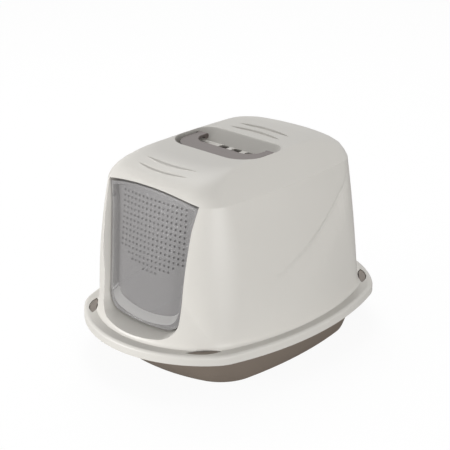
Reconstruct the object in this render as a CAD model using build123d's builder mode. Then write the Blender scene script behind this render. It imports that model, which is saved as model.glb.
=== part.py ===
"""Covered litter box: a deep tray, a lift-off hood with a swinging perforated flap, a folding carry
handle in the roof, four corner snap clips and an odour filter under the vented roof recess.

Millimetres. +Z is up, the entrance faces -Y, the origin is on the floor under the middle of the tray."""
import os
from math import cos, radians, sin

from build123d import *

os.makedirs("parts", exist_ok=True)

# Overall sizes
length = 450.0
width = 332.0
roof_height = 289.0
wall = 2.6
fit_gap = 0.4

# Levels of the tray rim and of the hood's flange
rim_level = 59.0
flange_thickness = 3.0
flange_level = rim_level + flange_thickness
skirt_depth = 13.4
skirt_level = flange_level - skirt_depth
skirt_edge_radius = 4.4

# Plan of the flange: how far its corners fall back from the middle of the sides and of the ends
flange_side_bow = 29.0
flange_end_bow = 67.0
flange_corner_radius = 62.0
upstand_clearance = 0.6

# Hood wall: foot on the flange, waist, and shoulder crease
foot_rise = 9.0
foot_margin = 17.5
foot_end_margin = 20.5
foot_side_bow = 27.0
foot_end_bow = 61.0
foot_rear_bow = 64.0
foot_corner_radius = 74.0
foot_flare = 3.2
waist_level = 150.0
waist_draft = 15.8
waist_side_bow = 16.0
waist_front_bow = 29.0
waist_rear_bow = 42.0
waist_corner_radius = 80.0
shoulder_drop = 35.0
shoulder_side_inset = 52.0
shoulder_front_inset = 60.5
shoulder_rear_inset = 58.0
shoulder_side_bow = 10.0
shoulder_front_bow = 16.0
shoulder_rear_bow = 26.0
shoulder_corner_radius = 46.0

# Roof plateau
plateau_side_inset = 42.0
plateau_front_inset = 72.5
plateau_rear_inset = 69.0
plateau_side_bow = 3.0
plateau_end_bow = 13.0
plateau_corner_radius = 34.0

# Crescent grooves across the roof, two in front of the recess and two behind it
groove_depth = 1.5
groove_width = 5.5
groove_bow = 8.0
groove_half_length = 47.0
groove_reach = 14.0
groove_front_insets = (23.5, 40.0)
groove_rear_gaps = (24.0, 43.0)

# Recess in the roof for the carry handle, with vent slots in its floor
recess_side_margin = 38.0
recess_front = 55.0
recess_rear = 33.0
recess_depth = 17.0
recess_front_radius = 36.0
recess_rear_radius = 24.0
recess_rear_slope = 16.0
recess_side_draft = 4.0
recess_lip = 2.5
vent_count = 3
vent_pitch = 24.0
vent_width = 15.0
vent_length = 24.0
vent_rear_gap = 0.5

# Carry handle: a wide bail that lies in the recess and swings up on two side pins
handle_side_gap = 6.0
handle_front_gap = 5.0
handle_axis_inset = 23.0
handle_axis_drop = 8.0
handle_grip_width = 30.0
handle_arm_width = 14.0
handle_drop = 4.0
handle_thickness = 4.0
handle_edge_radius = 1.2
handle_front_radius = 34.0
handle_inner_radius = 22.0
handle_knuckle_radius = 4.2
handle_pin_radius = 2.5
handle_pin_excess = 1.2

# Entrance flap: its rim leans back towards the top and is bowed forward across its width
flap_lean = 6.6
flap_hinge_drop = 58.0
flap_set_back = 10.9
flap_bow_radius = 450.0
flap_bow = 7.5
flap_depth = 10.0
flap_panel_thickness = 2.2
flap_side_margin = 84.0
flap_knee_inset = 5.5
flap_foot_inset = 10.0
flap_top_rise = 20.5
flap_crown = 9.5
flap_knee_drop = 8.0
flap_foot_rise = 16.0
flap_foot_sag = 5.0
flap_corner_radius = 24.0
flap_gap = 2.0
flap_top_gap = 4.0
flap_pin_radius = 3.0
flap_pin_length = 5.0
pin_end_gap = 0.6
flap_pin_inset = 5.0
flap_rim_width = 2.0
flap_side_bevel = 7.0
flap_bottom_bevel = 25.0
flap_top_bevel = 5.0
hole_size = 2.6
hole_pitch = 7.7
hole_side_margin = 18.5
hole_top = 13.0
hole_foot_margin = 64.0
hole_bottom_rise = 28.0

# Sill and sides of the entrance flare outwards from the flap
entrance_flare = 0.28
entrance_reach = 46.0

# Corner snap clips and the windows that they stand in
window_length = 49.0
window_inner = 5.8
window_outer = 7.5
window_side_margin = 59.0
window_end_margin = 56.5
window_trim = 2.5
clip_gap = 1.2
clip_thickness = 9.5
clip_top_drop = 0.8
clip_foot_radius = 2.6
clip_foot_length = 30.0

# Tray
tray_floor = 3.0
tray_half_width = 128.0
tray_half_length = 158.0
tray_corner_radius = 60.0
tray_side_bow = 14.0
tray_end_bow = 30.0
tray_wall = 2.6
tray_inset = 1.4
rim_edge_depth = 8.0
upstand_height = 5.0
clip_pocket_depth = 8.0
clip_pocket_wall = 2.2

# Odour filter: a pad in a slotted cassette that slides on two rails under the recess floor
pad_length = 112.0
pad_width = 40.0
pad_thickness = 7.0
cassette_gap = 1.0
cassette_wall = 2.0
cassette_floor = 2.0
cassette_slot_width = 5.0
cassette_slot_pitch = 9.0
cassette_pull_depth = 6.0
rail_thickness = 2.4
rail_lip = 3.0
rail_lip_thickness = 2.0
rail_length = 38.0
rail_y = -12.0

# Sizes that follow from the others
shoulder_level = roof_height - shoulder_drop
shoulder_half_width = width / 2 - shoulder_side_inset
shoulder_front = length / 2 - shoulder_front_inset
shoulder_rear = length / 2 - shoulder_rear_inset
plateau_half_width = shoulder_half_width - plateau_side_inset
plateau_front = shoulder_front - plateau_front_inset
plateau_rear = shoulder_rear - plateau_rear_inset
window_x = width / 2 - window_side_margin
window_y = length / 2 - window_end_margin
window_reach = ((width * window_y) ** 2 + (length * window_x) ** 2) ** 0.5
window_outward = (width * window_y / window_reach, length * window_x / window_reach)
recess_half_width = shoulder_half_width - recess_side_margin
recess_floor = roof_height - recess_depth
recess_underside = recess_floor - wall
vent_y = recess_rear - recess_rear_slope - vent_rear_gap - vent_length / 2
groove_fronts = [-(shoulder_front - inset) for inset in groove_front_insets]
groove_places = groove_fronts + [recess_rear + gap for gap in groove_rear_gaps]
handle_half_width = recess_half_width - handle_side_gap
handle_axis_y = recess_rear - handle_axis_inset
handle_reach = handle_axis_y + recess_front - handle_front_gap
handle_axis_level = roof_height - handle_axis_drop
handle_pin_length = recess_half_width - handle_half_width + handle_pin_excess
grip_level = roof_height - handle_drop - handle_thickness
cassette_half_width = pad_length / 2 + fit_gap + cassette_wall
cassette_top = recess_underside - cassette_gap
cassette_bottom = cassette_top - cassette_floor - pad_thickness - fit_gap
rail_bottom = cassette_bottom - fit_gap - rail_lip_thickness
flap_rim_at_hinge = shoulder_front - flap_set_back
flap_hinge_y = -flap_rim_at_hinge + flap_pin_inset
flap_hinge_level = roof_height - flap_hinge_drop
flap_foot_drop = flap_hinge_level - flange_level - flap_foot_rise
flap_top_half_width = width / 2 - flap_side_margin
flap_knee_half_width = flap_top_half_width - flap_knee_inset
flap_foot_half_width = flap_knee_half_width - flap_foot_inset
flap_pin_reach = flap_knee_half_width + flap_gap + flap_pin_length
hole_columns = int(2 * (flap_knee_half_width - hole_side_margin) / hole_pitch) + 1
hole_bottom = hole_foot_margin - flap_foot_drop
hole_rows = int((hole_top - hole_bottom) / hole_pitch) + 1
rim_outset = -wall - fit_gap
clip_foot_level = rim_level - clip_pocket_depth + 0.3
corners = ((-1, -1), (1, -1), (1, 1), (-1, 1))


def plan_outline(height, half_width, front, rear, side_bow, front_bow, rear_bow, corner):
    """One level of a bowed, round-cornered plan; front and rear are distances from the middle."""
    corner_x = half_width - side_bow
    corner_front = -front + front_bow
    corner_rear = rear - rear_bow
    with BuildSketch(Plane.XY.offset(height)) as level:
        with BuildLine():
            ThreePointArc((-corner_x, corner_front), (0, -front), (corner_x, corner_front))
            ThreePointArc((corner_x, corner_front), (half_width, 0), (corner_x, corner_rear))
            ThreePointArc((corner_x, corner_rear), (0, rear), (-corner_x, corner_rear))
            ThreePointArc((-corner_x, corner_rear), (-half_width, 0), (-corner_x, corner_front))
        make_face()
        fillet(level.vertices(), corner)
    return level.sketch


def flange_outline(height, outset):
    """The plan of the hood's flange, grown by outset."""
    half_length = length / 2 + outset
    corner = flange_corner_radius + outset
    bows = (flange_side_bow, flange_end_bow, flange_end_bow)
    return plan_outline(height, width / 2 + outset, half_length, half_length, *bows, corner)


def foot_outline(height, outset):
    """The plan of the hood wall at its foot, grown by outset."""
    half_length = length / 2 - foot_end_margin + outset
    bows = (foot_side_bow, foot_end_bow, foot_rear_bow)
    corner = foot_corner_radius + outset
    return plan_outline(height, width / 2 - foot_margin + outset, half_length, half_length, *bows, corner)


def waist_outline(height, outset):
    """The plan of the hood wall at half height, grown by outset."""
    half_width = width / 2 - foot_margin - waist_draft + outset
    half_length = length / 2 - foot_end_margin - waist_draft * 1.1 + outset
    bows = (waist_side_bow, waist_front_bow, waist_rear_bow)
    return plan_outline(height, half_width, half_length, half_length, *bows, waist_corner_radius + outset)


def roof_outline(height, half_width, front, rear, blend, outset):
    """A level of the roof; blend runs from 0 at the shoulder crease to 1 at the plateau."""
    side_bow = shoulder_side_bow * (1 - blend) + plateau_side_bow * blend
    front_bow = shoulder_front_bow * (1 - blend) + plateau_end_bow * blend
    rear_bow = shoulder_rear_bow * (1 - blend) + plateau_end_bow * blend
    corner = shoulder_corner_radius * (1 - blend) + plateau_corner_radius * blend + outset
    sizes = (half_width + outset, front + outset, rear + outset)
    return plan_outline(height, *sizes, side_bow, front_bow, rear_bow, corner)


def roof_levels(outset):
    """The roof from the shoulder crease up to the plateau."""
    levels = [roof_outline(shoulder_level, shoulder_half_width, shoulder_front, shoulder_rear, 0, outset)]
    for part_up, half_width, front, rear in (
        (0.22, 0.15, 0.02, 0.05),
        (0.45, 0.33, 0.09, 0.13),
        (0.65, 0.51, 0.22, 0.28),
        (0.80, 0.66, 0.41, 0.47),
        (0.90, 0.77, 0.60, 0.65),
        (0.97, 0.89, 0.80, 0.84),
        (1.00, 1.00, 1.00, 1.00),
    ):
        height = shoulder_level + (roof_height - shoulder_level) * part_up + min(outset, 0)
        level = roof_outline(
            height,
            shoulder_half_width + (plateau_half_width - shoulder_half_width) * half_width,
            shoulder_front + (plateau_front - shoulder_front) * front,
            shoulder_rear + (plateau_rear - shoulder_rear) * rear,
            part_up,
            outset,
        )
        levels.append(level)
    return levels


def hood_mass(outset):
    """The hood above its flange as a full solid, or the space inside its wall for a negative outset."""
    flare = []
    for rise, grow in ((0.0, 1.0), (0.1, 0.68), (0.28, 0.34), (0.6, 0.1), (1.0, 0.0)):
        flare.append(foot_outline(flange_level + foot_rise * rise, foot_flare * grow + outset))
    walls = [
        foot_outline(flange_level + foot_rise, outset),
        waist_outline(waist_level, outset),
        roof_outline(shoulder_level, shoulder_half_width, shoulder_front, shoulder_rear, 0, outset),
    ]
    with BuildPart() as mass:
        if outset < 0:
            extrude(foot_outline(rim_level - 1, outset), amount=flange_thickness + foot_rise + 1)
        else:
            loft(sections=flare, ruled=True)
        loft(sections=walls, ruled=outset < 0)
        loft(sections=roof_levels(outset), ruled=True)
    return mass.part


# The flap's rim plane: x across, y up the flap, z out of the box and slightly up
flap_plane = Plane(
    origin=(0, -flap_rim_at_hinge, flap_hinge_level),
    x_dir=(1, 0, 0),
    z_dir=(0, -cos(radians(flap_lean)), sin(radians(flap_lean))),
)


def flap_outline(out, side, bottom, top, corner):
    """The flap's outline on its rim plane moved out, grown at the sides, the bottom and the top."""
    foot = (flap_foot_half_width + side, -flap_foot_drop - bottom)
    knee = (flap_knee_half_width + side, -flap_knee_drop)
    head = (flap_top_half_width + side, flap_top_rise + top)
    with BuildSketch(flap_plane.offset(out)) as face:
        with BuildLine():
            ThreePointArc((-foot[0], foot[1]), (0, foot[1] - flap_foot_sag), foot)
            Polyline(foot, knee, head)
            ThreePointArc(head, (0, head[1] + flap_crown), (-head[0], head[1]))
            Polyline((-head[0], head[1]), (-knee[0], knee[1]), (-foot[0], foot[1]))
        make_face()
        fillet(face.vertices().sort_by(Axis.Y)[:2], corner)
    return face.sketch


def entrance_solid(grow, inner, flared):
    """The space of the entrance grown by grow, from inside the hood out through its front."""
    side = flap_gap + grow
    top = flap_top_gap + grow
    flare = entrance_flare * entrance_reach
    corner = flap_corner_radius + grow
    start = flap_outline(-inner, side, side, top, corner)
    middle = flap_outline(0, side, side, top, corner)
    end = flap_outline(entrance_reach, side + flare, side + flare, top, corner + flare)
    with BuildPart() as space:
        loft(sections=[start, middle], ruled=True)
        if flared:
            loft(sections=[middle, end], ruled=True)
    return space.part


def window_place(corner_x, corner_y, height):
    """The place of one corner's window: x along the flange edge, y outwards; corners are told by 1 or -1."""
    outward = (corner_x * window_outward[0], corner_y * window_outward[1])
    return Plane(
        origin=(corner_x * window_x, corner_y * window_y, height),
        x_dir=(outward[1], -outward[0], 0),
        z_dir=(0, 0, 1),
    )


def window_outline(place, grow):
    """The lens-shaped window in a corner of the flange, grown by grow."""
    tip = window_length / 2 + 2 * grow
    with BuildSketch(place) as lens:
        with BuildLine():
            ThreePointArc((-tip, 0), (0, window_outer + grow), (tip, 0))
            ThreePointArc((tip, 0), (0, -window_inner - grow), (-tip, 0))
        make_face()
    return lens.sketch


def recess_outline(height, inset, rear_inset, corner_drop, grow):
    """One level of the handle recess, its front corners rounder than its rear ones."""
    side = recess_half_width - inset + grow
    front = recess_front - inset + grow
    rear = recess_rear - rear_inset + grow
    with BuildSketch(Plane.XY.offset(height)) as level:
        with Locations((0, (rear - front) / 2)):
            Rectangle(2 * side, front + rear)
        fillet(level.vertices().group_by(Axis.Y)[0], recess_front_radius - corner_drop + grow)
        fillet(level.vertices().group_by(Axis.Y)[-1], recess_rear_radius - corner_drop + grow)
    return level.sketch


def recess_solid(grow, floor):
    """The space of the recess: near-upright in front and at the sides, sloping up to the roof behind."""
    brim = roof_height - recess_lip
    flare = 0.8 * recess_lip
    levels = [
        recess_outline(floor, recess_side_draft, recess_rear_slope, 8, grow),
        recess_outline(brim, 0.5, 1.5, 1, grow),
        recess_outline(brim + 0.6 * recess_lip, 0, 0, 0, grow),
        recess_outline(roof_height, -flare, -flare, -flare, grow),
        recess_outline(roof_height + 2, -flare, -flare, -flare, grow),
    ]
    with BuildPart() as bowl:
        loft(sections=levels, ruled=True)
    return bowl.part


def crescent(y):
    """A crescent in plan, pointed at both ends, its middle further from the recess than they are."""
    away = 1 if y > 0 else -1
    end = y - away * groove_bow
    with BuildSketch(Plane.XY.offset(roof_height - groove_reach)) as moon:
        with BuildLine():
            ThreePointArc((-groove_half_length, end), (0, y), (groove_half_length, end))
            ThreePointArc((groove_half_length, end), (0, y - away * groove_width), (-groove_half_length, end))
        make_face()
    return moon.sketch


outer_mass = hood_mass(0)

with BuildPart() as hood:
    # Flange with its turned-down skirt and its rounded upper edge
    extrude(flange_outline(skirt_level, 0), amount=skirt_depth - skirt_edge_radius)
    edge_levels = []
    for turn in (0, 20, 45, 70, 90):
        height = flange_level - skirt_edge_radius * (1 - sin(radians(turn)))
        edge_levels.append(flange_outline(height, -skirt_edge_radius * (1 - cos(radians(turn)))))
    loft(sections=edge_levels, ruled=True)
    extrude(flange_outline(skirt_level, -wall), amount=rim_level - skirt_level, mode=Mode.SUBTRACT)
    # Body wall and roof, hollow and open below
    add(outer_mass)
    upstand_space = foot_outline(rim_level - 1, upstand_clearance - tray_inset)
    extrude(upstand_space, amount=upstand_height + 1 + upstand_clearance, mode=Mode.SUBTRACT)
    add(hood_mass(-wall), mode=Mode.SUBTRACT)
    # Entrance: a short tunnel that carries the flap, with a flat sill, then the opening through it
    add(entrance_solid(wall, flap_depth + 3, True) & outer_mass)
    add(entrance_solid(0, flap_depth + 30, True), mode=Mode.SUBTRACT)
    # Roof recess, its tub first and then the space in it
    add(recess_solid(wall, recess_underside) & outer_mass)
    add(recess_solid(0, recess_floor), mode=Mode.SUBTRACT)
    # Crescent grooves, as deep everywhere below the roof's own curve
    sunk_mass = outer_mass.moved(Location((0, 0, -groove_depth)))
    for y in groove_places:
        channel = extrude(crescent(y), amount=groove_reach + 1, mode=Mode.PRIVATE)
        add(channel - sunk_mass, mode=Mode.SUBTRACT)
    # Rails for the filter cassette, each with a lip under the cassette
    for side in (-1, 1):
        rail_x = side * (cassette_half_width + fit_gap + rail_thickness / 2)
        lip_x = side * (cassette_half_width + fit_gap + rail_thickness - (rail_thickness + rail_lip) / 2)
        with BuildSketch(Plane.XY.offset(rail_bottom)):
            with Locations((rail_x, rail_y)):
                Rectangle(rail_thickness, rail_length)
        extrude(amount=recess_underside - rail_bottom)
        with BuildSketch(Plane.XY.offset(rail_bottom)):
            with Locations((lip_x, rail_y)):
                Rectangle(rail_thickness + rail_lip, rail_length)
        extrude(amount=rail_lip_thickness)
    # Vent slots in the recess floor, up to the foot of its rear slope
    with BuildSketch(Plane.XY.offset(recess_floor + 1)):
        with Locations((0, vent_y)):
            with GridLocations(vent_pitch, 0, vent_count, 1):
                RectangleRounded(vent_width, vent_length, 3)
    extrude(amount=-wall - 2, mode=Mode.SUBTRACT)
    # Holes for the handle's pins in the recess sides and for the flap's hinge pins
    handle_hole_reach = handle_half_width + handle_pin_length + 1
    flap_hole_reach = flap_pin_reach + pin_end_gap
    for reach, y, z, radius in (
        (handle_hole_reach, handle_axis_y, handle_axis_level, handle_pin_radius),
        (flap_hole_reach, flap_hinge_y, flap_hinge_level, flap_pin_radius),
    ):
        with BuildSketch(Plane.YZ.offset(-reach)):
            with Locations((y, z)):
                Circle(radius + fit_gap)
        extrude(amount=2 * reach, mode=Mode.SUBTRACT)
    # Corner windows through the flange
    for corner_x, corner_y in corners:
        window = window_outline(window_place(corner_x, corner_y, rim_level - 1), 0)
        extrude(window, amount=flange_thickness + 1 + window_trim, mode=Mode.SUBTRACT)
hood.part.label = "hood"
export_step(hood.part, "parts/hood.step")


def tray_outline(height, outset):
    """The tray wall's plan at a height; it swells quickly from the floor and then leans to the rim."""
    part_up = min(height / rim_level, 1) ** 0.8
    half_width = tray_half_width + (width / 2 - foot_margin - tray_inset - tray_half_width) * part_up
    half_length = tray_half_length + (length / 2 - foot_end_margin - tray_inset - tray_half_length) * part_up
    side_bow = tray_side_bow + (foot_side_bow - tray_side_bow) * part_up
    front_bow = tray_end_bow + (foot_end_bow - tray_end_bow) * part_up
    rear_bow = tray_end_bow + (foot_rear_bow - tray_end_bow) * part_up
    corner = tray_corner_radius + (foot_corner_radius - tray_corner_radius) * part_up + outset
    sizes = (half_width + outset, half_length + outset, half_length + outset)
    return plan_outline(height, *sizes, side_bow, front_bow, rear_bow, corner)


with BuildPart() as tray:
    # Rim that the hood's flange rests on, its edge turned down inside the hood's skirt
    rim_block = extrude(flange_outline(rim_level - rim_edge_depth, rim_outset), amount=rim_edge_depth)
    rim_hollow = flange_outline(rim_level - rim_edge_depth, rim_outset - tray_wall)
    extrude(rim_hollow, amount=rim_edge_depth - tray_wall, mode=Mode.SUBTRACT)
    # Deep dish, with an upstand that keeps the hood in place
    outer_levels = (0, 3, 11, 26, rim_level)
    loft(sections=[tray_outline(height, 0) for height in outer_levels], ruled=True)
    extrude(tray_outline(rim_level, 0), amount=upstand_height)
    # Corner pockets for the clips, hanging from the rim
    for corner_x, corner_y in corners:
        place = window_place(corner_x, corner_y, rim_level - clip_pocket_depth - clip_pocket_wall)
        pocket = extrude(
            window_outline(place, clip_pocket_wall),
            amount=clip_pocket_depth + clip_pocket_wall,
            mode=Mode.PRIVATE,
        )
        below_rim = extrude(flange_outline(skirt_level - 5, rim_outset), amount=20, mode=Mode.PRIVATE)
        add(pocket & below_rim)
    # Inside of the dish
    inner_levels = (tray_floor, 11, 26, rim_level)
    inside = [tray_outline(height, -tray_wall) for height in inner_levels]
    loft(sections=inside, ruled=True, mode=Mode.SUBTRACT)
    extrude(tray_outline(rim_level, -tray_wall), amount=upstand_height, mode=Mode.SUBTRACT)
    for corner_x, corner_y in corners:
        place = window_place(corner_x, corner_y, rim_level - clip_pocket_depth)
        extrude(window_outline(place, 0), amount=clip_pocket_depth, mode=Mode.SUBTRACT)
tray.part.label = "tray"
export_step(tray.part, "parts/tray.step")

# Corner snap clips: the outer part of each window's lens, rocking inwards on a foot bar in the pocket
clip_names = ("clip_front_left", "clip_front_right", "clip_rear_right", "clip_rear_left")
for clip_name, (corner_x, corner_y) in zip(clip_names, corners):
    place = window_place(corner_x, corner_y, clip_foot_level + clip_foot_radius)
    back_y = window_outer - clip_gap - clip_thickness
    body_height = flange_level - clip_top_drop - place.origin.Z
    with BuildPart() as clip:
        extrude(window_outline(place, -clip_gap), amount=body_height)
        with BuildSketch(place):
            with Locations((0, back_y - clip_thickness)):
                Rectangle(window_length, 2 * clip_thickness)
        extrude(amount=body_height, mode=Mode.SUBTRACT)
        # Foot bar along the window
        bar_place = Plane(origin=place.origin, x_dir=place.y_dir, z_dir=place.x_dir)
        with BuildSketch(bar_place):
            with Locations((back_y + clip_foot_radius, 0)):
                Circle(clip_foot_radius)
        extrude(amount=clip_foot_length / 2, both=True)
    clip.part.label = clip_name
    export_step(clip.part, "parts/" + clip_name + ".step")

# Carry handle: a U-shaped strip in plan, with a knuckle and an outward pin at the end of each arm
with BuildPart() as carry_handle:
    grip_front = handle_axis_y - handle_reach
    grip_back = grip_front + handle_grip_width
    arm_inside = handle_half_width - handle_arm_width
    with BuildSketch(Plane.XY.offset(grip_level)) as plan:
        with BuildLine():
            Polyline(
                (-handle_half_width, handle_axis_y),
                (-handle_half_width, grip_front),
                (handle_half_width, grip_front),
                (handle_half_width, handle_axis_y),
                (arm_inside, handle_axis_y),
                (arm_inside, grip_back),
                (-arm_inside, grip_back),
                (-arm_inside, handle_axis_y),
                close=True,
            )
        make_face()
        fillet(plan.vertices().group_by(Axis.Y)[0], handle_front_radius)
        fillet(plan.vertices().filter_by(lambda v: abs(v.Y - grip_back) < 0.1), handle_inner_radius)
    extrude(amount=handle_thickness)
    top_edges = carry_handle.faces().sort_by(Axis.Z)[-1].edges()
    fillet(top_edges.filter_by(lambda e: e.center().Y < handle_axis_y - 0.1), handle_edge_radius)
    for side in (-1, 1):
        for radius, start, reach in (
            (handle_knuckle_radius, arm_inside, handle_arm_width),
            (handle_pin_radius, handle_half_width - 1, handle_pin_length + 1),
        ):
            with BuildSketch(Plane.YZ.offset(side * start)):
                with Locations((handle_axis_y, handle_axis_level)):
                    Circle(radius)
            extrude(amount=side * reach)
carry_handle.part.label = "carry_handle"
export_step(carry_handle.part, "parts/carry_handle.step")


def bow_cylinder(inset):
    """A cylinder whose face is the flap's bowed front, moved inwards by inset."""
    up = (0, sin(radians(flap_lean)), cos(radians(flap_lean)))
    place = Plane(origin=flap_plane.origin, x_dir=(1, 0, 0), z_dir=up)
    with BuildPart() as bow:
        with BuildSketch(place.offset(-2 * flap_foot_drop)):
            with Locations((0, flap_bow_radius - flap_bow)):
                Circle(flap_bow_radius - inset)
        extrude(amount=4 * flap_foot_drop)
    return bow.part


with BuildPart() as door_flap:
    # Bowed slab in the flap's outline
    extrude(flap_outline(-2 * flap_depth, 0, 0, 0, flap_corner_radius), amount=4 * flap_depth)
    add(bow_cylinder(0), mode=Mode.INTERSECT)
    add(bow_cylinder(flap_depth), mode=Mode.SUBTRACT)
    # Dished front: a narrow rim, bevels that run back from it, and a thin panel
    rim = -flap_rim_width
    mouth = flap_outline(flap_bow + 1, rim, rim, rim, flap_corner_radius - flap_rim_width)
    sides = rim - flap_side_bevel
    corner = flap_corner_radius - flap_rim_width - flap_side_bevel
    floor_face = flap_outline(-flap_depth, sides, rim - flap_bottom_bevel, rim - flap_top_bevel, corner)
    dish = loft(sections=[floor_face, mouth], ruled=True, mode=Mode.PRIVATE)
    add(dish - bow_cylinder(flap_depth - flap_panel_thickness), mode=Mode.SUBTRACT)
    # Square holes in rows, the field of holes ending lower in the middle than at the sides
    with BuildSketch(flap_plane.offset(-2 * flap_depth)):
        for column in range(hole_columns):
            x = (column - (hole_columns - 1) / 2) * hole_pitch
            lowest = hole_bottom + hole_bottom_rise * (2 * x / (hole_columns * hole_pitch)) ** 2
            for row in range(hole_rows):
                y = hole_top - row * hole_pitch
                if y > lowest:
                    with Locations((x, y)):
                        Rectangle(hole_size, hole_size)
    extrude(amount=4 * flap_depth, mode=Mode.SUBTRACT)
    # Hinge pins, one at each side
    pin_root = flap_knee_half_width - flap_side_bevel / 2
    for side in (-1, 1):
        with BuildSketch(Plane.YZ.offset(side * pin_root)):
            with Locations((flap_hinge_y, flap_hinge_level)):
                Circle(flap_pin_radius)
        extrude(amount=side * (flap_pin_reach - pin_root))
door_flap.part.label = "door_flap"
export_step(door_flap.part, "parts/door_flap.step")

# Cassette: a slotted open box on the rails
with BuildPart() as filter_cassette:
    with BuildSketch(Plane.XY.offset(cassette_bottom)):
        with Locations((0, rail_y)):
            Rectangle(2 * cassette_half_width, pad_width + 2 * fit_gap + 2 * cassette_wall)
    extrude(amount=cassette_top - cassette_bottom)
    with BuildSketch(Plane.XY.offset(cassette_bottom + cassette_floor)):
        with Locations((0, rail_y)):
            Rectangle(pad_length + 2 * fit_gap, pad_width + 2 * fit_gap)
    extrude(amount=cassette_top, mode=Mode.SUBTRACT)
    # Slots in its floor
    slot_count = int((pad_length - 2 * cassette_slot_width) / cassette_slot_pitch)
    with BuildSketch(Plane.XY.offset(cassette_bottom)):
        with Locations((0, rail_y)):
            with GridLocations(cassette_slot_pitch, 0, slot_count, 1):
                SlotOverall(pad_width - 8, cassette_slot_width, rotation=90)
    extrude(amount=cassette_floor, mode=Mode.SUBTRACT)
    # Finger tab on its front wall
    with BuildSketch(Plane.XY.offset(cassette_bottom)):
        with Locations((0, rail_y - pad_width / 2 - fit_gap - cassette_wall - cassette_pull_depth / 2 + 0.5)):
            Rectangle(pad_length / 3, cassette_pull_depth + 1)
    extrude(amount=cassette_floor)
filter_cassette.part.label = "filter_cassette"
export_step(filter_cassette.part, "parts/filter_cassette.step")

# Filter pad lying in the cassette
with BuildPart() as filter_pad:
    with BuildSketch(Plane.XY.offset(cassette_bottom + cassette_floor)):
        with Locations((0, rail_y)):
            RectangleRounded(pad_length, pad_width, 3)
    extrude(amount=pad_thickness)
filter_pad.part.label = "filter_pad"
export_step(filter_pad.part, "parts/filter_pad.step")
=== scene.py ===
import math

import bmesh
import bpy
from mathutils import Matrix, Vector


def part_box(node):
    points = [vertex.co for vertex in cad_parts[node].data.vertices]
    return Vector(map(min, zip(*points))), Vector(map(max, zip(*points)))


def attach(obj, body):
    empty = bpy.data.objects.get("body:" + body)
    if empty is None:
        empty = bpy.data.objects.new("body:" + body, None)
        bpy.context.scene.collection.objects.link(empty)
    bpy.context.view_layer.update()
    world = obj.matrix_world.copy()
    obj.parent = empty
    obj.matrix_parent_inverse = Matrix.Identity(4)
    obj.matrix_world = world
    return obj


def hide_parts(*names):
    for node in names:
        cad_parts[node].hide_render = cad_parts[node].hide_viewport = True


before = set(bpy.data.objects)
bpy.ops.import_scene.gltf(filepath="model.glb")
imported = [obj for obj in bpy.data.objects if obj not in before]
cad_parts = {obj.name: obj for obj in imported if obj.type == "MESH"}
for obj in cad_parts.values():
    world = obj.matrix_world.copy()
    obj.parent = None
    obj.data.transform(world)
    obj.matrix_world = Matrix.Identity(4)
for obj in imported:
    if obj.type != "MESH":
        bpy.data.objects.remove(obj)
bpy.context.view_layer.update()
scene = bpy.context.scene

# The photographer's camera: a long lens a little above the roof, looking at the box's front
# right corner.
camera_azimuth = math.radians(42.68)
camera_elevation = math.radians(22.27)
camera_distance = 1.9528
look_at = Vector((0, 0, 0.15))
back = Vector((
    math.sin(camera_azimuth) * math.cos(camera_elevation),
    -math.cos(camera_azimuth) * math.cos(camera_elevation),
    math.sin(camera_elevation),
))
camera_data = bpy.data.cameras.new("photo_camera")
camera_data.lens = 109.67
camera_data.sensor_width = 36.0
camera_data.shift_x = -0.0134
camera_data.shift_y = 0.01907
camera = bpy.data.objects.new("photo_camera", camera_data)
scene.collection.objects.link(camera)
camera.location = look_at + back * camera_distance
camera.rotation_mode = "QUATERNION"
camera.rotation_quaternion = (-back).to_track_quat("-Z", "Y")
scene.camera = camera

# Studio: a wide strip of a key close to the table on the front left, a soft lamp low on the right
# for the side wall, a high one on the left for the roof, and an even pale room, which shows white
# to the camera and in reflections. Each lamp has its place, its width and height, and its watts.
scene.view_settings.view_transform = "Standard"
for name, place, width, height, power in (
    ("key_lamp", (-1.2, -2.12, 0.2), 1.4, 0.3, 48),
    ("side_lamp", (2.3, -0.7, 0.22), 1.2, 0.4, 31),
    ("roof_lamp", (-0.95, 0.7, 2.2), 1.2, 1.2, 21),
):
    lamp_data = bpy.data.lights.new(name, "AREA")
    lamp_data.shape = "RECTANGLE"
    lamp_data.size = width
    lamp_data.size_y = height
    lamp_data.energy = power
    lamp = bpy.data.objects.new(name, lamp_data)
    scene.collection.objects.link(lamp)
    lamp.location = place
    lamp.rotation_mode = "QUATERNION"
    lamp.rotation_quaternion = (look_at - Vector(place)).to_track_quat("-Z", "Y")

room_strength = 0.4
room = bpy.data.worlds.new("pale_room")
scene.world = room
room.use_nodes = True
nodes = room.node_tree.nodes
links = room.node_tree.links
nodes.clear()
room_output = nodes.new("ShaderNodeOutputWorld")
room_light = nodes.new("ShaderNodeBackground")
room_light.inputs["Color"].default_value = (1, 1, 1, 1)
room_light.inputs["Strength"].default_value = room_strength
white_room = nodes.new("ShaderNodeBackground")
white_room.inputs["Color"].default_value = (1, 1, 1, 1)
room_mix = nodes.new("ShaderNodeMixShader")
room_path = nodes.new("ShaderNodeLightPath")
seen_or_glossy = nodes.new("ShaderNodeMath")
seen_or_glossy.operation = "MAXIMUM"
seen_or_clear = nodes.new("ShaderNodeMath")
seen_or_clear.operation = "MAXIMUM"
links.new(room_path.outputs["Is Camera Ray"], seen_or_glossy.inputs[0])
links.new(room_path.outputs["Is Glossy Ray"], seen_or_glossy.inputs[1])
links.new(seen_or_glossy.outputs["Value"], seen_or_clear.inputs[0])
links.new(room_path.outputs["Is Transmission Ray"], seen_or_clear.inputs[1])
links.new(seen_or_clear.outputs["Value"], room_mix.inputs["Fac"])
links.new(room_light.outputs["Background"], room_mix.inputs[1])
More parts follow.
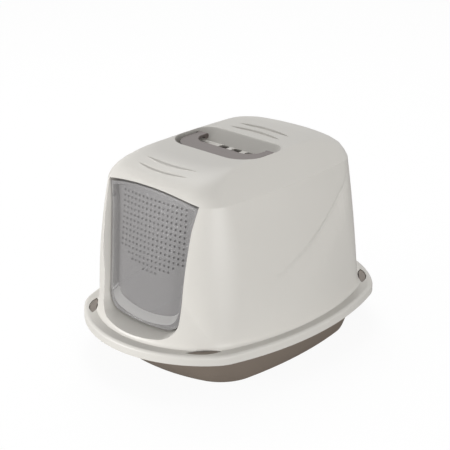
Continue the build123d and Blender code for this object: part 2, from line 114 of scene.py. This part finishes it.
links.new(white_room.outputs["Background"], room_mix.inputs[2])
links.new(room_mix.outputs["Shader"], room_output.inputs["Surface"])

# Floor: a white table top. To the camera it is mostly its own white, so that the box keeps only a
# faint shadow.
floor_half_side = 6
own_white_share = 0.8
floor_mesh = bpy.data.meshes.new("table_top")
floor = bpy.data.objects.new("table_top", floor_mesh)
scene.collection.objects.link(floor)
shape = bmesh.new()
bmesh.ops.create_grid(shape, x_segments=1, y_segments=1, size=floor_half_side)
shape.to_mesh(floor_mesh)
shape.free()
floor_finish = bpy.data.materials.new("white_table")
floor_finish.use_nodes = True
nodes = floor_finish.node_tree.nodes
links = floor_finish.node_tree.links
nodes.clear()
floor_output = nodes.new("ShaderNodeOutputMaterial")
floor_diffuse = nodes.new("ShaderNodeBsdfDiffuse")
floor_diffuse.inputs["Color"].default_value = (0.45, 0.45, 0.45, 1)
floor_glow = nodes.new("ShaderNodeEmission")
floor_glow.inputs["Strength"].default_value = 1.16
floor_mix = nodes.new("ShaderNodeMixShader")
floor_path = nodes.new("ShaderNodeLightPath")
floor_share = nodes.new("ShaderNodeMath")
floor_share.operation = "MULTIPLY"
floor_share.inputs[1].default_value = own_white_share
links.new(floor_path.outputs["Is Camera Ray"], floor_share.inputs[0])
links.new(floor_share.outputs["Value"], floor_mix.inputs["Fac"])
links.new(floor_diffuse.outputs["BSDF"], floor_mix.inputs[1])
links.new(floor_glow.outputs["Emission"], floor_mix.inputs[2])
links.new(floor_mix.outputs["Shader"], floor_output.inputs["Surface"])
floor_mesh.materials.append(floor_finish)


# Hood: one large injection moulding in warm white polypropylene with a fine satin grain. It drops
# over the tray's upstand and carries the flap, the handle and the filter. Four crescent grooves
# are pressed in its roof, and a swoosh line in each side wall.
tone_spread = 0.025
gloss_spread = 0.05


def moulded_plastic(name, colour, roughness, grain_depth):
    """Satin moulded plastic: a fine grain, and slow changes of tone and gloss over the piece."""
    finish = bpy.data.materials.new(name)
    finish.use_nodes = True
    tree = finish.node_tree
    shader = tree.nodes["Principled BSDF"]
    shader.inputs["IOR"].default_value = 1.49
    place = tree.nodes.new("ShaderNodeTexCoord")
    grain = tree.nodes.new("ShaderNodeTexNoise")
    grain.inputs["Scale"].default_value = 900
    grain.inputs["Detail"].default_value = 4
    flow = tree.nodes.new("ShaderNodeTexNoise")
    flow.inputs["Scale"].default_value = 9
    flow.inputs["Detail"].default_value = 3
    tree.links.new(place.outputs["Object"], grain.inputs["Vector"])
    tree.links.new(place.outputs["Object"], flow.inputs["Vector"])
    tone = tree.nodes.new("ShaderNodeMixRGB")
    tone.inputs["Color1"].default_value = (*[c * (1 - tone_spread) for c in colour], 1)
    tone.inputs["Color2"].default_value = (*[c * (1 + tone_spread) for c in colour], 1)
    tree.links.new(flow.outputs["Fac"], tone.inputs["Fac"])
    tree.links.new(tone.outputs["Color"], shader.inputs["Base Color"])
    gloss = tree.nodes.new("ShaderNodeMapRange")
    gloss.inputs["To Min"].default_value = roughness - gloss_spread
    gloss.inputs["To Max"].default_value = roughness + gloss_spread
    tree.links.new(flow.outputs["Fac"], gloss.inputs["Value"])
    tree.links.new(gloss.outputs["Result"], shader.inputs["Roughness"])
    relief = tree.nodes.new("ShaderNodeBump")
    relief.inputs["Strength"].default_value = 0.25
    relief.inputs["Distance"].default_value = grain_depth
    tree.links.new(grain.outputs["Fac"], relief.inputs["Height"])
    tree.links.new(relief.outputs["Normal"], shader.inputs["Normal"])
    return finish


def joined_copy(node, name):
    """A new piece with the CAD node's shape, and that shape with its loose triangles joined."""
    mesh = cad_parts[node].data.copy()
    mesh.name = name
    mesh.materials.clear()
    # The stored normals of the copy would hide its changes of shape
    stored_normals = mesh.attributes.get("custom_normal")
    if stored_normals:
        mesh.attributes.remove(stored_normals)
    piece = bpy.data.objects.new(name, mesh)
    scene.collection.objects.link(piece)
    shape = bmesh.new()
    shape.from_mesh(mesh)
    bmesh.ops.remove_doubles(shape, verts=shape.verts, dist=1e-5)
    return piece, shape


def finish_shape(piece, shape, sharp_angle):
    """Writes the shape back, smooth up to an angle, and lets its broad faces set the shading."""
    shape.to_mesh(piece.data)
    shape.free()
    piece.data.shade_smooth()
    piece.data.set_sharp_from_angle(angle=math.radians(sharp_angle))
    even = piece.modifiers.new("even_light", "WEIGHTED_NORMAL")
    even.mode = "FACE_AREA_WITH_ANGLE"
    even.weight = 70
    even.keep_sharp = True


hood, shape = joined_copy("hood", "hood_shell")


def cut(shape, faces, planes):
    """Cuts the faces along planes, each a point and a normal, and gives the faces that result."""
    points = dict.fromkeys(point for face in faces for point in face.verts)
    edges = dict.fromkeys(edge for face in faces for edge in face.edges)
    geometry = list(points) + list(edges) + faces
    for place, normal in planes:
        geometry = bmesh.ops.bisect_plane(
            shape, geom=geometry, dist=1e-6, plane_co=place, plane_no=normal)["geom"]
    return [item for item in geometry if isinstance(item, bmesh.types.BMFace)]


def cut_strips(shape, faces, direction, places):
    """Cuts the faces at places along a direction, and gives those between two places in turn."""
    strips = [[] for _ in places[1:]]
    for face in cut(shape, faces, [(direction * place, direction) for place in places]):
        middle = face.calc_center_median().dot(direction)
        for i, strip in enumerate(strips):
            if places[i] < middle < places[i + 1]:
                strip.append(face)
    return strips


def ease(share):
    """A smooth step from 0 to 1."""
    share = min(max(share, 0), 1)
    return share * share * (3 - 2 * share)


# The crescent grooves: the plain channels of the CAD solid are closed, and each is pressed in again
# with a bead, a rounded lip and a slanting floor. A groove's place is the y of its outer edge, and
# its ends bow towards the handle.
groove_bow = 0.008
groove_width = 0.0085
groove_half_length = 0.047
groove_places = (-0.141, -0.1245, 0.057, 0.076)
groove_steps = 18
lowest_roof = 0.268
steepest_roof = 0.3
steepest_floor = 0.5
most_channel_faces = 150
channel_margin = 0.0015
cut_margin = 0.02
press_margin = 0.002
least_taper = 0.01
end_fullness = 2.2


def near_groove(point, margin):
    inside = False
    for place in groove_places:
        end = place - math.copysign(groove_bow, place)
        inside = inside or min(place, end) - margin < point.y < max(place, end) + margin
    return inside and abs(point.x) < groove_half_length + margin and point.z > lowest_roof


def enclosed_patch(start, walls):
    """The faces joined to one without a wall between, or none where they run on over the hood."""
    patch = {start}
    front = [start]
    while front and len(patch) < most_channel_faces:
        for edge in front.pop().edges:
            for other in edge.link_faces:
                if other not in patch and other not in walls:
                    patch.add(other)
                    front.append(other)
    return set() if front or len(patch) >= most_channel_faces else patch


channel_walls = [
    face for face in shape.faces
    if abs(face.normal.z) < steepest_floor
    and near_groove(face.calc_center_median(), channel_margin)
]
channels = set(channel_walls)
for wall in channel_walls:
    for edge in wall.edges:
        for face in edge.link_faces:
            if face not in channels:
                channels |= enclosed_patch(face, channels)
channel_faces = [face for face in shape.faces if face in channels]
bmesh.ops.delete(shape, geom=channel_faces, context="FACES")
open_edges = [edge for edge in shape.edges if edge.is_boundary]
lids = bmesh.ops.holes_fill(shape, edges=open_edges, sides=0)["faces"]
bmesh.ops.triangulate(shape, faces=lids)
shape.normal_update()


def groove_taper(x):
    """A groove's width at a distance from its middle, as a share of its full width."""
    return 1 - (x / groove_half_length) ** 2


def groove_line(place, x, share):
    """The y of a line along a groove, from its outer edge at 0 to its inner edge at 1."""
    away = math.copysign(1, place)
    taper = groove_taper(x)
    return place - away * (groove_bow * (1 - taper) + groove_width * taper * share)


# Heights across a groove, from a fine bead at its outer edge to the edge nearer the recess
groove_profile = (
    (-0.13, 0), (-0.05, 0.0005), (0.05, -0.0003), (0.17, -0.0018),
    (0.3, -0.0019), (0.5, -0.0014), (0.75, -0.0006), (1, 0),
)


def groove_height(share):
    """The surface's height above or below the roof at a share of the groove's width."""
    for (low, start), (high, end) in zip(groove_profile, groove_profile[1:]):
        if low <= share <= high:
            return start + (end - start) * (share - low) / (high - low)
    return 0


groove_edges = [groove_half_length * (2 * i / groove_steps - 1) for i in range(groove_steps + 1)]
roof_faces = [
    face for face in shape.faces
    if face.normal.z > steepest_roof and near_groove(face.calc_center_median(), cut_margin)
]
for i, strip in enumerate(cut_strips(shape, roof_faces, Vector((1, 0, 0)), groove_edges)):
    lines = []
    left, right = groove_edges[i:i + 2]
    for place in groove_places:
        for share, _ in groove_profile:
            start = Vector((left, groove_line(place, left, share), 0))
            along = Vector((right, groove_line(place, right, share), 0)) - start
            lines.append((start, Vector((-along.y, along.x, 0)).normalized()))
    cut(shape, strip, lines)
shape.normal_update()
for point in shape.verts:
    taper = groove_taper(point.co.x)
    if point.normal.z < steepest_roof or taper < least_taper:
        continue
    if not near_groove(point.co, press_margin):
        continue
    for place in groove_places:
        outer = groove_line(place, point.co.x, 0)
        share = (outer - point.co.y) * math.copysign(1, place) / (groove_width * taper)
        point.co.z += min(1, end_fullness * taper) * groove_height(share)

# The swoosh on each side wall: a line that falls from the rear shoulder towards the front. The wall
# turns in below it and comes out again lower down, the inner skin with the outer one. Offsets are
# heights above the line, from its lip over the deepest place down to where the wall is plain again.
swoosh_rear = 0.122
swoosh_front = -0.078
swoosh_depth = 0.004
swoosh_steps = 16
swoosh_lip = 0.003
swoosh_deepest = -0.007
swoosh_foot = -0.05
swoosh_offsets = (
    swoosh_lip, 0.0005, -0.002, -0.0045, swoosh_deepest, -0.015, -0.028, swoosh_foot,
)
swoosh_level = 0.1585
swoosh_slope = 0.36
swoosh_curl = 2.1
swoosh_margin = 0.1
wall_foot = 0.075
wall_top = 0.2535
wall_top_margin = 0.0025
wall_top_fade = 0.012
wall_place = 0.1
wall_facing = 0.7
corner_facing = 0.6
flat_facing = 0.9
front_fade = 1.6
rear_fade = 8


def swoosh_height(y):
    return swoosh_level + swoosh_slope * y + swoosh_curl * max(y, 0) ** 2


def swoosh_press(offset):
    """How far the wall is pressed in at an offset, as a share of the full depth."""
    if offset > swoosh_deepest:
        return ease((swoosh_lip - offset) / (swoosh_lip - swoosh_deepest))
    return ease((offset - swoosh_foot) / (swoosh_deepest - swoosh_foot))


def swoosh_fade(point):
    """The depth's share at a point: less towards the line's ends, the shoulder and the corners."""
    along = (point.co.y - swoosh_front) / (swoosh_rear - swoosh_front)
    if not 0 < along < 1 or not wall_foot < point.co.z < wall_top:
        return 0
    ends = min(1, along * front_fade) * min(1, (1 - along) * rear_fade)
    top = min(1, (wall_top - point.co.z) / wall_top_fade)
    return ends * top * ease((abs(point.normal.x) - corner_facing) / (flat_facing - corner_facing))


swoosh_step = (swoosh_rear - swoosh_front) / swoosh_steps
swoosh_edges = [swoosh_front + swoosh_step * i for i in range(swoosh_steps + 1)]
for side in (-1, 1):
    wall_faces = []
    for face in shape.faces:
        middle = face.calc_center_median()
        if abs(face.normal.x) > wall_facing and middle.x * side > wall_place:
            if wall_foot < middle.z < wall_top + wall_top_margin:
                if swoosh_front - swoosh_margin < middle.y < swoosh_rear + swoosh_margin:
                    wall_faces.append(face)
    for i, strip in enumerate(cut_strips(shape, wall_faces, Vector((0, 1, 0)), swoosh_edges)):
        y = swoosh_edges[i]
        rise = swoosh_height(y + swoosh_step) - swoosh_height(y)
        across = Vector((0, -rise, swoosh_step)).normalized()
        heights = [swoosh_height(y) + offset for offset in swoosh_offsets]
        cut(shape, strip, [(Vector((0, y, height)), across) for height in heights])
shape.normal_update()
for point in shape.verts:
    if abs(point.co.x) > wall_place and abs(point.normal.x) > corner_facing:
        offset = point.co.z - swoosh_height(point.co.y)
        press = swoosh_depth * swoosh_fade(point) * swoosh_press(offset)
        point.co.x -= math.copysign(press, point.co.x)
finish_shape(hood, shape, sharp_angle=34)

# The crease lines of the mould stay crisp: the shoulder all round, and both edges of the narrow
# chamfer round the roof
crease_levels = (0.254, 0.28795, 0.289)
crease_reach = 0.00006
least_crease = 0.02
creased = hood.data.attributes["sharp_edge"]
edge_tilts = {}
for polygon in hood.data.polygons:
    for key in polygon.edge_keys:
        edge_tilts.setdefault(key, []).append(polygon.normal.z)
for edge in hood.data.edges:
    heights = [hood.data.vertices[i].co.z for i in edge.vertices]
    tilts = edge_tilts[edge.key]
    for level in crease_levels:
        on_level = all(abs(height - level) < crease_reach for height in heights)
        if on_level and max(tilts) - min(tilts) > least_crease:
            creased.data[edge.index].value = True
hood_finish = moulded_plastic("hood_plastic", (0.63, 0.61, 0.57), 0.45, 0.00005)
hood.data.materials.append(hood_finish)
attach(hood, "hood_body")
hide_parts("hood")

# Tray: the deep dish for the litter, moulded in taupe polypropylene. Its turned-down rim carries
# the hood's flange, and four pockets in the rim hold the clips.
tray, shape = joined_copy("tray", "tray_dish")
finish_shape(tray, shape, sharp_angle=34)
tray_finish = moulded_plastic("tray_plastic", (0.21, 0.173, 0.142), 0.4, 0.00005)
tray.data.materials.append(tray_finish)
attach(tray, "tray_body")
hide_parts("tray")

# Corner clips: spring tongues of the tray's own plastic, moulded on its rim. They stand in the
# windows of the hood's flange and hold it down.
for node in ("clip_front_left", "clip_front_right", "clip_rear_right", "clip_rear_left"):
    clip, shape = joined_copy(node, node + "_tongue")
    finish_shape(clip, shape, sharp_angle=34)
    clip.data.materials.append(tray_finish)
    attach(clip, node + "_body")
    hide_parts(node)

# Entrance flap: a smoky see-through panel, bowed forward, with rows of small square air holes. It
# is moulded in one piece with the two pins that it hangs on. The slope along its foot faces forward
# and up, and it is given painted light: a lighter, less see-through finish for the light it
# catches.
slope_top = 0.125
slope_forward = 0.3
slope_upward = 0.35
flap, shape = joined_copy("door_flap", "smoky_flap")
shape.normal_update()
# Painted light: the faces of the slope that face forward and up are marked, so that the flap's
# finish makes them lighter.
painted_slope_light = shape.loops.layers.float_color.new("painted_slope_light")
for face in shape.faces:
    slanting = face.normal.y < -slope_forward and face.normal.z > slope_upward
    painted_lit_face = slanting and face.calc_center_median().z < slope_top
    for corner in face.loops:
        corner[painted_slope_light] = (1, 1, 1, 1) if painted_lit_face else (0, 0, 0, 1)
finish_shape(flap, shape, sharp_angle=25)
flap_finish = moulded_plastic("smoky_flap_plastic", (0.42, 0.41, 0.41), 0.2, 0.00003)
tree = flap_finish.node_tree
shader = tree.nodes["Principled BSDF"]
# Painted light on the marked slope: it is made less see-through and mixed towards a light grey,
# which stands in for the light that the slope catches.
painted_light_mark = tree.nodes.new("ShaderNodeAttribute")
painted_light_mark.attribute_name = "painted_slope_light"
painted_light_alpha = tree.nodes.new("ShaderNodeMapRange")
painted_light_alpha.inputs["To Min"].default_value = 0.45
painted_light_alpha.inputs["To Max"].default_value = 0.72
tree.links.new(painted_light_mark.outputs["Fac"], painted_light_alpha.inputs["Value"])
tree.links.new(painted_light_alpha.outputs["Result"], shader.inputs["Alpha"])
smoke = shader.inputs["Base Color"].links[0].from_socket
painted_light_tone = tree.nodes.new("ShaderNodeMixRGB")
painted_light_tone.inputs["Color2"].default_value = (0.52, 0.51, 0.5, 1)
tree.links.new(painted_light_mark.outputs["Fac"], painted_light_tone.inputs["Fac"])
tree.links.new(smoke, painted_light_tone.inputs["Color1"])
tree.links.new(painted_light_tone.outputs["Color"], shader.inputs["Base Color"])
flap.data.materials.append(flap_finish)
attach(flap, "flap_body")
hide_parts("door_flap")

# Carry handle: a wide bail moulded in greyish taupe plastic. It lies in the roof's recess and
# turns on two pins at the ends of its arms.
handle, shape = joined_copy("carry_handle", "handle_bail")
finish_shape(handle, shape, sharp_angle=40)
handle_finish = moulded_plastic("handle_plastic", (0.165, 0.137, 0.128), 0.42, 0.00005)
handle.data.materials.append(handle_finish)
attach(handle, "handle_body")
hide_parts("carry_handle")

# Filter cassette: an open box with a slotted floor, moulded in dark taupe plastic. It hangs on
# rails under the vents of the recess.
cassette, shape = joined_copy("filter_cassette", "filter_cassette_box")
finish_shape(cassette, shape, sharp_angle=34)
cassette_finish = moulded_plastic("cassette_plastic", (0.2, 0.175, 0.155), 0.45, 0.00005)
cassette.data.materials.append(cassette_finish)
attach(cassette, "cassette_body")
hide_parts("filter_cassette")

# Filter pad: a slab cut from charcoal felt that lies loose in the cassette, its corners and edges
# a little crushed.
corner_radius = 0.002
edge_radius = 0.0009
outer_share = 0.49
upright = 0.9
least_edge_angle = 1.2
felt_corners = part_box("filter_pad")
felt_low = Vector(felt_corners[0])
felt_high = Vector(felt_corners[1])
felt_size = felt_high - felt_low
felt_middle = (felt_low + felt_high) / 2
felt_mesh = bpy.data.meshes.new("charcoal_felt")
felt = bpy.data.objects.new("charcoal_felt", felt_mesh)
scene.collection.objects.link(felt)
shape = bmesh.new()
bmesh.ops.create_cube(shape, size=1)
bmesh.ops.subdivide_edges(shape, edges=shape.edges, cuts=2, use_grid_fill=True)
bmesh.ops.scale(shape, vec=felt_size, verts=shape.verts)
corners = []
for edge in shape.edges:
    start, end = (point.co for point in edge.verts)
    far_out = abs(start.x) > felt_size.x * outer_share and abs(start.y) > felt_size.y * outer_share
    if far_out and abs((start - end).normalized().z) > upright:
        corners.append(edge)
bmesh.ops.bevel(
    shape, geom=corners, offset=corner_radius, affect="EDGES", segments=3, profile=0.5, material=-1)
rims = [edge for edge in shape.edges if edge.calc_face_angle(0) > least_edge_angle]
bmesh.ops.bevel(
    shape, geom=rims, offset=edge_radius, affect="EDGES", segments=3, profile=0.5, material=-1)
bmesh.ops.translate(shape, vec=felt_middle, verts=shape.verts)
bmesh.ops.recalc_face_normals(shape, faces=shape.faces)
finish_shape(felt, shape, sharp_angle=60)
felt_finish = bpy.data.materials.new("charcoal_felt")
felt_finish.use_nodes = True
tree = felt_finish.node_tree
shader = tree.nodes["Principled BSDF"]
shader.inputs["Roughness"].default_value = 0.95
shader.inputs["Sheen Weight"].default_value = 0.3
place = tree.nodes.new("ShaderNodeTexCoord")
fibre = tree.nodes.new("ShaderNodeTexNoise")
fibre.inputs["Scale"].default_value = 1400
fibre.inputs["Detail"].default_value = 6
fibre.inputs["Distortion"].default_value = 2.5
tree.links.new(place.outputs["Object"], fibre.inputs["Vector"])
fleck = tree.nodes.new("ShaderNodeValToRGB")
fleck.color_ramp.elements[0].position = 0.35
fleck.color_ramp.elements[0].color = (0.012, 0.012, 0.013, 1)
fleck.color_ramp.elements[1].position = 0.7
fleck.color_ramp.elements[1].color = (0.06, 0.06, 0.062, 1)
tree.links.new(fibre.outputs["Fac"], fleck.inputs["Fac"])
tree.links.new(fleck.outputs["Color"], shader.inputs["Base Color"])
nap = tree.nodes.new("ShaderNodeBump")
nap.inputs["Strength"].default_value = 0.8
nap.inputs["Distance"].default_value = 0.0004
tree.links.new(fibre.outputs["Fac"], nap.inputs["Height"])
tree.links.new(nap.outputs["Normal"], shader.inputs["Normal"])
felt_mesh.materials.append(felt_finish)
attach(felt, "cassette_body")
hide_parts("filter_pad")
